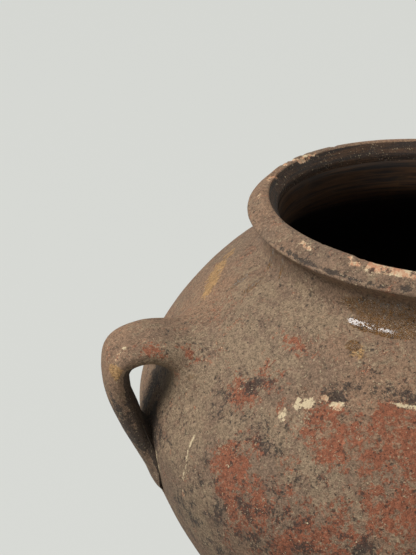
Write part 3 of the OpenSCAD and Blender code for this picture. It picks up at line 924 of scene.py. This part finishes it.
def clay_material(name, c):
    """Weathered slip over red clay, with its stains and painted shade read from the mesh."""
    material, w, surface, where = new_material(name)
    slow = w.noise(where, 11.0, detail=5.0, rough=0.6)
    patches = w.noises(where, 72.0, detail=9.0, rough=0.78)
    mottle = w.noises(where, 190.0, detail=6.0, rough=0.8)
    crumbs = w.noises(where, 750.0, detail=3.0, rough=0.7)
    grain = w.placed(grain_group(), {"Where": where})

    def field(kind):
        return w.made("ShaderNodeAttribute", attribute_name=kind).outputs["Fac"]

    def broken(first, second):
        """Patches, mottle and crumbs together, a different mix for each stain."""
        return w.weighted((patches[first], 0.42), (mottle[second], 0.38), (crumbs[first], 0.2))

    def ragged(kind, noise, spread, gain, resting=0.0):
        """Mask of a stain. The resting level leaves flecks where the mesh has none of it."""
        value = w.plus(w.times(field(kind), gain), resting)
        return w.placed(ragged_group(), {"Field": value, "Noise": noise, "Spread": spread})["Mask"]

    tone = w.laid(c.tan, c.grey, w.step(slow, 0.38, 0.62))
    tone = w.laid(tone, c.brown, w.step(broken(0, 0), 0.50, 0.62), most=0.65)
    # Kind, noise, spread and colour, then most that it covers, gain and resting level
    layers = (("khaki", broken(2, 1), 5.0, c.khaki, 0.85, 0.42, 0.30),
              ("rust", broken(1, 2), 5.0, c.rust, 0.9, 0.50, 0.17),
              ("ochre", mottle[0], 2.2, c.ochre, 0.8, 0.75, 0.0),
              ("amber", broken(0, 1), 1.6, c.amber, 0.95, 1.0, 0.0),
              # Grime and painted shade, read from the marks on the mesh
              ("grime", broken(0, 2), 4.6, c.grime, 0.85, 0.62, 0.10))
    masks = {}
    for kind, noise, spread, shade, most, gain, resting in layers:
        masks[kind] = ragged(kind, noise, spread, gain, resting)
        tone = w.laid(tone, shade, masks[kind], most)
    lines = w.step(w.ring_lines(where, squeeze=22.0, scale=30.0, rough=0.65), 0.35, 0.68)
    lined = w.step(w.plus(field("lining"), w.swing(broken(1, 1), 0.9)), 0.40, 0.60)
    tone = w.laid(tone, w.mix(lines, c.dark_glaze_and_shade, c.glaze), lined, most=0.93)
    grey_tone = w.made("ShaderNodeCombineColor", dict.fromkeys(range(3), grain["Tone"]))
    tone = w.mix(1.0, tone, grey_tone.outputs[0], "MULTIPLY")
    tone = w.laid(tone, c.grime, grain["Pits"], most=0.75)
    tone = w.laid(tone, c.cream, grain["Grit"], most=0.4)
    bare_tone = w.laid(c.raw, c.cream, w.step(mottle[0], 0.42, 0.60))
    bare_tone = w.laid(bare_tone, c.brown, w.step(mottle[2], 0.52, 0.60))
    tone = w.laid(tone, bare_tone, ragged("raw", broken(2, 0), 4.5, gain=0.85))
    tone = w.laid(tone, c.cream, ragged("cream", broken(1, 2), 5.0, gain=0.8), most=0.9)
    glossy = w.larger(masks["amber"], w.times(lined, 0.3))
    rough = w.plus(w.minus(0.78, w.times(glossy, 0.56)), w.swing(mottle[1], 0.3))
    flecks = w.step(w.weighted((mottle[1], 0.5), (crumbs[2], 0.5)), 0.45, 0.56)
    bump = w.made("ShaderNodeBump", {
        "Strength": 0.8, "Distance": 0.9 * MM, "Height": w.plus(grain["Height"], w.times(mottle[0], 1.4))})
    w.fill(surface, {
        "Base Color": tone, "Roughness": rough, "Specular IOR Level": 0.35, "Coat Roughness": 0.12,
        "Coat Weight": w.times(w.times(masks["amber"], flecks), 0.9), "Normal": bump.outputs[0]})
    return material


def glaze_material(name, c, rim_z):
    """Brown lead glaze inside, with fine throwing lines, and painted shade that darkens it further down.
    """
    material, w, surface, where = new_material(name)
    depth = w.minus(rim_z, w.made("ShaderNodeSeparateXYZ", {0: where}).outputs[2])
    lines = w.ring_lines(where, squeeze=26.0, scale=26.0, rough=0.6)
    blots = w.noise(where, 30.0, detail=4.0, rough=0.6)
    tone = w.laid(c.dark_glaze_and_shade, c.glaze, w.step(lines, 0.35, 0.65))
    tone = w.laid(tone, c.amber, w.step(blots, 0.55, 0.72), most=0.4)
    # Painted shade: the glaze darkens deep inside the jar
    tone = w.laid(tone, c.dark_glaze_and_shade, w.step(depth, 20 * MM, 75 * MM))
    bump = w.made("ShaderNodeBump", {"Strength": 0.4, "Distance": 0.5 * MM, "Height": lines})
    w.fill(surface, {"Base Color": tone, "Roughness": w.plus(0.38, w.times(blots, 0.3)),
                     "Normal": bump.outputs[0]})
    return material


def look(name, make, *values):
    """A material, made once."""
    return bpy.data.materials.get(name) or make(name, *values)


def clay(slot):
    """The clay of a slot, named after it."""
    return look(slot.replace("_", " "), clay_material, settings("colours"))


RELIEF_HEIGHTS = 0.5 * MM, 6 * MM      # relief starts and is full this far above the floor
RAW_GAIN = 1.2                         # strength of raw clay where a chip is deepest
LIP_SLACK = 0.6 * MM                   # the lining's look starts this far out on the crest's land
LINING_EDGE, LINING_REACH = 1.6 * MM, 60 * MM     # depths below the crest where it is full and ends


class OLIVEJAR_OT_throw_walls(bpy.types.Operator):
    """Throw the five sections of the wall, from the floor disc to the rim."""

    bl_idname = "olive_jar.throw_walls"
    bl_label = "Throw the walls"

    sections = {
        "floor_disc": (("foot", "floor_in"), "clay_body"),
        "lower_wall": (("lower_out", "lower_in"), "clay_body"),
        "shoulder_wall": (("shoulder_out", "shoulder_in"), "clay_body"),
        "neck_coil": (("neck_out", "neck_in"), "clay_rim"),
        "rim_coil": (("rim",), "clay_rim"),
    }

    def execute(self, context):
        wall, wear = settings("wall"), settings("wear")
        profile, stains = Profile(wall), all_stains(wear.seed)
        for node, (parts, slot) in self.sections.items():
            stretches = [profile.stretch(part) for part in parts]
            mesh = throw(node + "_clay", stretches, wall.turns, clay(slot))
            self.wear_down(mesh, wear, wall, profile)
            paint(mesh, profile, stains)
            face_outwards(mesh)
            finish_piece(node + "_clay", mesh, node)
        return {"FINISHED"}

    @staticmethod
    def wear_down(mesh, wear, wall, profile):
        """Presses relief and wear into a section, and notes where clay, glaze, and dirt with painted shade
        in the groove show.
        """
        points, relief = points_of(mesh), read_field(mesh, "relief")
        azimuths = np.degrees(np.arctan2(points[:, 1], points[:, 0]))
        chipped = chips(points, azimuths, wall) * relief
        grooved = groove(points, azimuths, wall) * relief
        depth = clay_relief(points, wear) * relief * smooth_step(*RELIEF_HEIGHTS, points[:, 2])
        depth -= wear.chips * chipped + wear.groove * grooved
        depth -= (pit_depth(points, profile) + wear.runs * runs(points, azimuths)) * relief
        press(mesh, depth, wear)
        write_field(mesh, "raw", chipped * RAW_GAIN)
        # The groove is darkened: dirt, and painted shade in it
        write_field(mesh, "grime", grooved)
        down = wall.height - points[:, 2]
        lip_r = (wall.neck_d - 2 * wall.crest_inset - wall.crest_land_w) / 2
        inner = (off_axis(points) < lip_r + LIP_SLACK) * (down < LINING_REACH)
        write_field(mesh, "lining", inner * smooth_step(0.0, LINING_EDGE, down))


GLAZE_EDGE = -1 * MM, 3 * MM     # depths below its edge at which the glaze starts and is full


class OLIVEJAR_OT_glaze_inside(bpy.types.Operator):
    """Line the inside with a thin glaze that shows the throwing rings."""

    bl_idname = "olive_jar.glaze_inside"
    bl_label = "Glaze the inside"

    def execute(self, context):
        wall, wear = settings("wall"), settings("wear")
        profile = Profile(wall)
        top = wall.height - wall.mouth_bevel_h - wall.glaze_drop
        inside = profile.joined(("neck_in", "shoulder_in", "lower_in", "floor_in"))
        inside = spaced(np.vstack([[wall.neck_d / 2 - wall.neck_t, top], inside]), wall.glaze_step)
        out = profile.outward(inside)
        thick = wall.glaze_t * smooth_step(*GLAZE_EDGE, top - inside[:, 1])[:, None]
        shown = inside + out * thick
        # Both skins end on the axis. The hidden one runs back up with a third of the points
        shown[-1, 0] = inside[-1, 0] = 0
        back = np.vstack([inside[::-3], inside[:1]])
        stretches = [(back, profile.outward(back), 0.0), (shown, out, 1.0)]
        material = look("lining glaze", glaze_material, settings("colours"), wall.height)
        mesh = throw("lining_glaze", stretches, wall.glaze_turns, material)
        rings = from_zero(layered_noise(points_of(mesh) * GLAZE_RING_WAVES, 2, seed=41))
        press(mesh, -wear.glaze_rings * rings * read_field(mesh, "relief"), wear)
        face_outwards(mesh)
        finish_piece("lining_glaze", mesh, "glaze_lining")
        return {"FINISHED"}


# Places along a handle's loop
ROOT_SINK, ROOT_FALL = 16 * MM, 15 * MM         # root's middle, in from the wall and below the arm
FLARE_FALL = 4.5 * MM                           # middle of the flare, below the arm
ARM_IN = 16.5 * MM                              # arm's level stretch, in from the loop's reach
KNUCKLE_IN, KNUCKLE_FALL = 1.5 * MM, 5.5 * MM   # upper bend, in from the reach and below the arm
LEG_IN, LEG_FALL = 6 * MM, 20 * MM              # leg, in from the reach and below the outermost place
PRESS_RISE, PRESS_STAND = 25 * MM, 0.5 * MM     # leg half sunk, above its end and off the wall
SMEAR_RISE = 10 * MM                            # smeared leg, above its end
TIP_SINK = 5 * MM                               # the leg's end, in from the wall
SPREAD_FALL = 2.2                               # how fast the spread dies away off the wall
# Soot and painted shade behind the loop: beyond this radius, where the clay faces the wall by so much
SOOT_AND_SHADE_R, SOOT_AND_SHADE_FACING, SOOT_AND_SHADE_GAIN = 165 * MM, (0.1, 0.75), 1.5


def smooth_line(knots, steps=60):
    """A smooth line through the knots, with so many points from each knot to the next."""
    ends = np.vstack([2 * knots[0] - knots[1], knots, 2 * knots[-1] - knots[-2]])
    t = np.linspace(0, 1, steps, endpoint=False)[:, None]
    return np.vstack([(2 * b + (c - a) * t + (2 * a - 5 * b + 4 * c - d) * t * t
                       + (3 * b - a - 3 * c + d) * t**3) / 2
                      for a, b, c, d in zip(ends, ends[1:], ends[2:], ends[3:])])


class OLIVEJAR_OT_pull_handles(bpy.types.Operator):
    """Pull two strap handles and spread their roots onto the wall."""

    bl_idname = "olive_jar.pull_handles"
    bl_label = "Pull the handles"

    def execute(self, context):
        wall, handle, wear = settings("wall"), settings("handle"), settings("wear")
        profile, stains = Profile(wall), all_stains(wear.seed)
        for node, side in (("handle_left", -1), ("handle_right", 1)):
            mesh = self.strap(node + "_clay", profile, wall, handle, side)
            press(mesh, clay_relief(points_of(mesh), wear) * read_field(mesh, "relief"), wear)
            paint(mesh, profile, stains)
            points, outward = points_of(mesh), read_field(mesh, "outward")
            # The strap's side that faces the wall is darkened with soot and painted shade
            hidden = -(outward[:, :2] * unit(points[:, :2])).sum(1)
            soot_and_shade = SOOT_AND_SHADE_GAIN * smooth_step(*SOOT_AND_SHADE_FACING, hidden) * (off_axis(points) > SOOT_AND_SHADE_R)
            write_field(mesh, "grime", np.maximum(read_field(mesh, "grime"), soot_and_shade))
            write_field(mesh, "lining", np.zeros(len(points)))
            mesh.materials.append(clay("clay_handle"))
            finish_piece(node + "_clay", mesh, node)
        return {"FINISHED"}

    @staticmethod
    def stations(profile, wall, h):
        """Rows of (distance from the axis, height, half width, half thickness, spread)."""
        reach = wall.belly_d / 2 + h.stand
        arm_z, bend_z, leg_z = (wall.belly_h + rise for rise in (h.arm_rise, h.bend_rise, -h.leg_drop))
        half_w, half_t = h.strap_w / 2, h.strap_t / 2
        root_z, press_z, smear_z = arm_z - ROOT_FALL, leg_z + PRESS_RISE, leg_z + SMEAR_RISE
        root_r, arm_r = profile.radius_at(root_z) - ROOT_SINK, reach - ARM_IN
        wide, thin = h.root_spread, h.leg_spread
        return np.array([
            [root_r, root_z, h.root_w / 2, h.root_t / 2, wide],
            [(root_r + arm_r) / 2, arm_z - FLARE_FALL, (h.root_w + h.strap_w) / 4,
             (h.root_t + h.strap_t) / 4.6, wide],
            [arm_r, arm_z, half_w * 1.12, half_t * 1.06, wide],
            [reach - KNUCKLE_IN, arm_z - KNUCKLE_FALL, half_w * 1.02, half_t * 0.97, wide],
            [reach, bend_z, half_w * 0.96, half_t, thin],
            [reach - LEG_IN, bend_z - LEG_FALL, half_w, half_t, thin],
            [profile.radius_at(press_z) + PRESS_STAND, press_z, h.leg_foot_w / 2, half_t * 0.66, thin],
            [profile.radius_at(smear_z), smear_z, h.leg_foot_w * 0.43, half_t * 0.36, thin],
            [profile.radius_at(leg_z) - TIP_SINK, leg_z, h.leg_foot_w / 5, half_t / 4, thin],
        ])

    @classmethod
    def strap(cls, name, profile, wall, h, side):
        """A closed strap whose two ends follow the wall a little under its surface."""
        line = smooth_line(cls.stations(profile, wall, h))
        r, z, half_w, half_t, spread = line.T[..., None]
        lift_r, lift_z = -right_of(line[:, :2]).T[..., None]
        turn = np.linspace(0, math.tau, h.sides, endpoint=False)
        out, wide = (np.sign(v) * np.abs(v) ** h.square for v in (np.cos(turn), np.sin(turn)))
        tube = np.stack([r + lift_r * half_t * out, half_w * wide, z + lift_z * half_t * out], -1)
        # Directions out of the strap's own surface
        lean = unit(np.stack([lift_r * out / half_t, wide / half_w, lift_z * out / half_t], -1))
        far, way = profile.off_wall(tube.reshape(-1, 3))
        far, way = far.reshape(tube.shape[:2]), way.reshape(tube.shape)
        # The clay spreads along the wall, most where the strap meets it
        share = np.clip(1 - np.maximum(far, -h.sunk) / spread, 0, None)
        aside = lean - (lean * way).sum(-1, keepdims=True) * way
        tube = tube + aside * (spread * share**SPREAD_FALL)[..., None]
        known = np.concatenate([tube, lean, far[..., None]], -1)
        columns = [cls.trimmed(known[:, k], far[:, k] > -h.sunk, h.rows) for k in range(h.sides)]
        return cls.skinned(name, np.stack(columns, 1), np.array([side, side, 1]))

    @staticmethod
    def trimmed(column, free, rows):
        """One line along the strap, cut to where it is free of the wall and spaced anew."""
        first = int(free.argmax())
        sunk = ~free[first:]
        last = first + int(sunk.argmax()) if sunk.any() else len(free) - 1
        places = np.linspace(first, last, rows)
        return np.column_stack([np.interp(places, np.arange(len(free)), values) for values in column.T])

    @staticmethod
    def skinned(name, grid, turn_round):
        """A mesh over a grid of (place, direction, distance off the wall), with a cap on each end."""
        rows, sides = grid.shape[:2]
        points, leans, off = np.split(grid.reshape(-1, 7), [3, 6], axis=1)
        points = np.vstack([points, grid[0, :, :3].mean(0), grid[-1, :, :3].mean(0)])
        leans = np.vstack([leans, [0, 0, 1], [0, 0, -1]])
        pairs = [(k, (k + 1) % sides) for k in range(sides)]
        end = (rows - 1) * sides
        faces = [(i + k, i + sides + k, i + sides + m, i + m)
                 for i in range(0, end, sides) for k, m in pairs]
        faces += [(len(points) - 2, k, m) for k, m in pairs]
        faces += [(len(points) - 1, end + m, end + k) for k, m in pairs]
        mesh = bpy.data.meshes.new(name)
        mesh.from_pydata((points * turn_round).tolist(), [], faces)
        mesh.shade_smooth()
        write_field(mesh, "outward", leans * turn_round)
        write_field(mesh, "relief", np.append(off[:, 0] > 0, [0, 0]))
        face_outwards(mesh)
        return mesh


LIT_PLACE = Vector((0, 0, 0.25))     # the lamps point here, in metres


def seen_directly(w):
    """1 for a ray that the camera sees straight or off a gloss, and 0 for light on the jar."""
    path = w.made("ShaderNodeLightPath").outputs
    return w.larger(path["Is Camera Ray"], path["Is Glossy Ray"])


class OLIVEJAR_OT_set_stage(bpy.types.Operator):
    """Set the camera, the pale floor and soft light."""

    bl_idname = "olive_jar.set_stage"
    bl_label = "Set the stage"

    def execute(self, context):
        s = settings("stage")
        self.camera(s)
        self.floor(s)
        self.world(s)
        self.lamp("window", place=(-1.5, -0.25, 2.1), size=1.1, power=s.lamp_power)
        self.lamp("fill", place=(0.9, -1.9, 1.1), size=1.4, power=s.fill_power)
        context.scene.view_settings.view_transform = "Standard"
        return {"FINISHED"}

    @staticmethod
    def aimed(name, data, place, way):
        """Puts a camera or a lamp at a place, so that it looks along a way."""
        obj = put_in_scene(name, data)
        obj.location = place
        obj.rotation_mode = "QUATERNION"
        obj.rotation_quaternion = way.to_track_quat("-Z", "Y")
        return obj

    @classmethod
    def camera(cls, s):
        """The camera, with a lens fitted to the picture's long side."""
        data = bpy.data.cameras.new("camera")
        data.sensor_width = 36.0
        data.lens = s.focal_px / FRAME_HEIGHT_PX * data.sensor_width
        data.clip_start, data.clip_end = 0.01, 50.0
        way = Vector((math.sin(s.heading) * math.cos(s.pitch),
                      math.cos(s.heading) * math.cos(s.pitch), -math.sin(s.pitch)))
        bpy.context.scene.camera = cls.aimed("camera", data, s.camera, way)

    @classmethod
    def lamp(cls, name, place, size, power):
        """A round soft lamp that points at the jar."""
        data = bpy.data.lights.new(name, "AREA")
        data.shape, data.size, data.energy = "DISK", size, power
        cls.aimed(name, data, place, LIT_PLACE - Vector(place))

    @staticmethod
    def floor(s):
        """A round pale floor, which keeps the jar's shadow."""
        steps = 96
        ring = [(s.floor_r * math.cos(a), s.floor_r * math.sin(a), 0)
                for a in np.linspace(0, math.tau, steps, endpoint=False)]
        mesh = bpy.data.meshes.new("floor")
        mesh.from_pydata(ring, [], [tuple(range(steps))])
        floor = put_in_scene("floor", mesh)
        material, w, surface, _ = new_material("pale floor")
        w.fill(surface, {"Base Color": [s.floor_bounce * part for part in s.floor], "Roughness": 0.9})
        glow = w.made("ShaderNodeEmission", {"Color": s.floor, "Strength": s.floor_glow})
        both = w.made("ShaderNodeMixShader", {
            0: w.times(seen_directly(w), s.floor_even), 1: surface.outputs[0], 2: glow.outputs[0]})
        w.fill(w.tree.get_output_node("ALL"), {"Surface": both.outputs[0]})
        mesh.materials.append(material)

    @staticmethod
    def world(s):
        """Even light all round, and a pale background where the camera sees past the floor."""
        world = bpy.data.worlds.new("studio")
        world.use_nodes = True
        world.node_tree.nodes.clear()
        w = Wiring(world.node_tree)
        lit = w.made("ShaderNodeBackground", {"Color": s.sky_colour, "Strength": s.sky})
        shown = w.made("ShaderNodeBackground", {"Color": s.floor, "Strength": s.backdrop_glow})
        both = w.made("ShaderNodeMixShader", {
            0: seen_directly(w), 1: lit.outputs[0], 2: shown.outputs[0]})
        w.made("ShaderNodeOutputWorld", {"Surface": both.outputs[0]})
        bpy.context.scene.world = world


class OLIVEJAR_PT_panel(bpy.types.Panel):
    """Lists the jar's operators."""

    bl_idname = "OLIVEJAR_PT_panel"
    bl_label = "Olive Jar"
    bl_space_type = "VIEW_3D"
    bl_region_type = "UI"
    bl_category = "Olive Jar"

    def draw(self, context):
        for operator in OPERATORS:
            self.layout.operator(operator.bl_idname)


OPERATORS = (OLIVEJAR_OT_set_stage, OLIVEJAR_OT_throw_walls, OLIVEJAR_OT_glaze_inside,
             OLIVEJAR_OT_pull_handles)
GROUPS = {"wall": OliveJarWall, "handle": OliveJarHandle, "wear": OliveJarWear,
          "colours": OliveJarColours, "stage": OliveJarStage}


def register():
    for cls in (*GROUPS.values(), *OPERATORS, OLIVEJAR_PT_panel):
        bpy.utils.register_class(cls)
    for name, group in GROUPS.items():
        setattr(bpy.types.Scene, "olive_jar_" + name, bpy.props.PointerProperty(type=group))


def unregister():
    for name in GROUPS:
        delattr(bpy.types.Scene, "olive_jar_" + name)
    for cls in reversed((*GROUPS.values(), *OPERATORS, OLIVEJAR_PT_panel)):
        bpy.utils.unregister_class(cls)


def main():
    register()
    bpy.ops.olive_jar.set_stage()
    bpy.ops.olive_jar.throw_walls()
    bpy.ops.olive_jar.glaze_inside()
    bpy.ops.olive_jar.pull_handles()


if __name__ == "__main__":
    main()
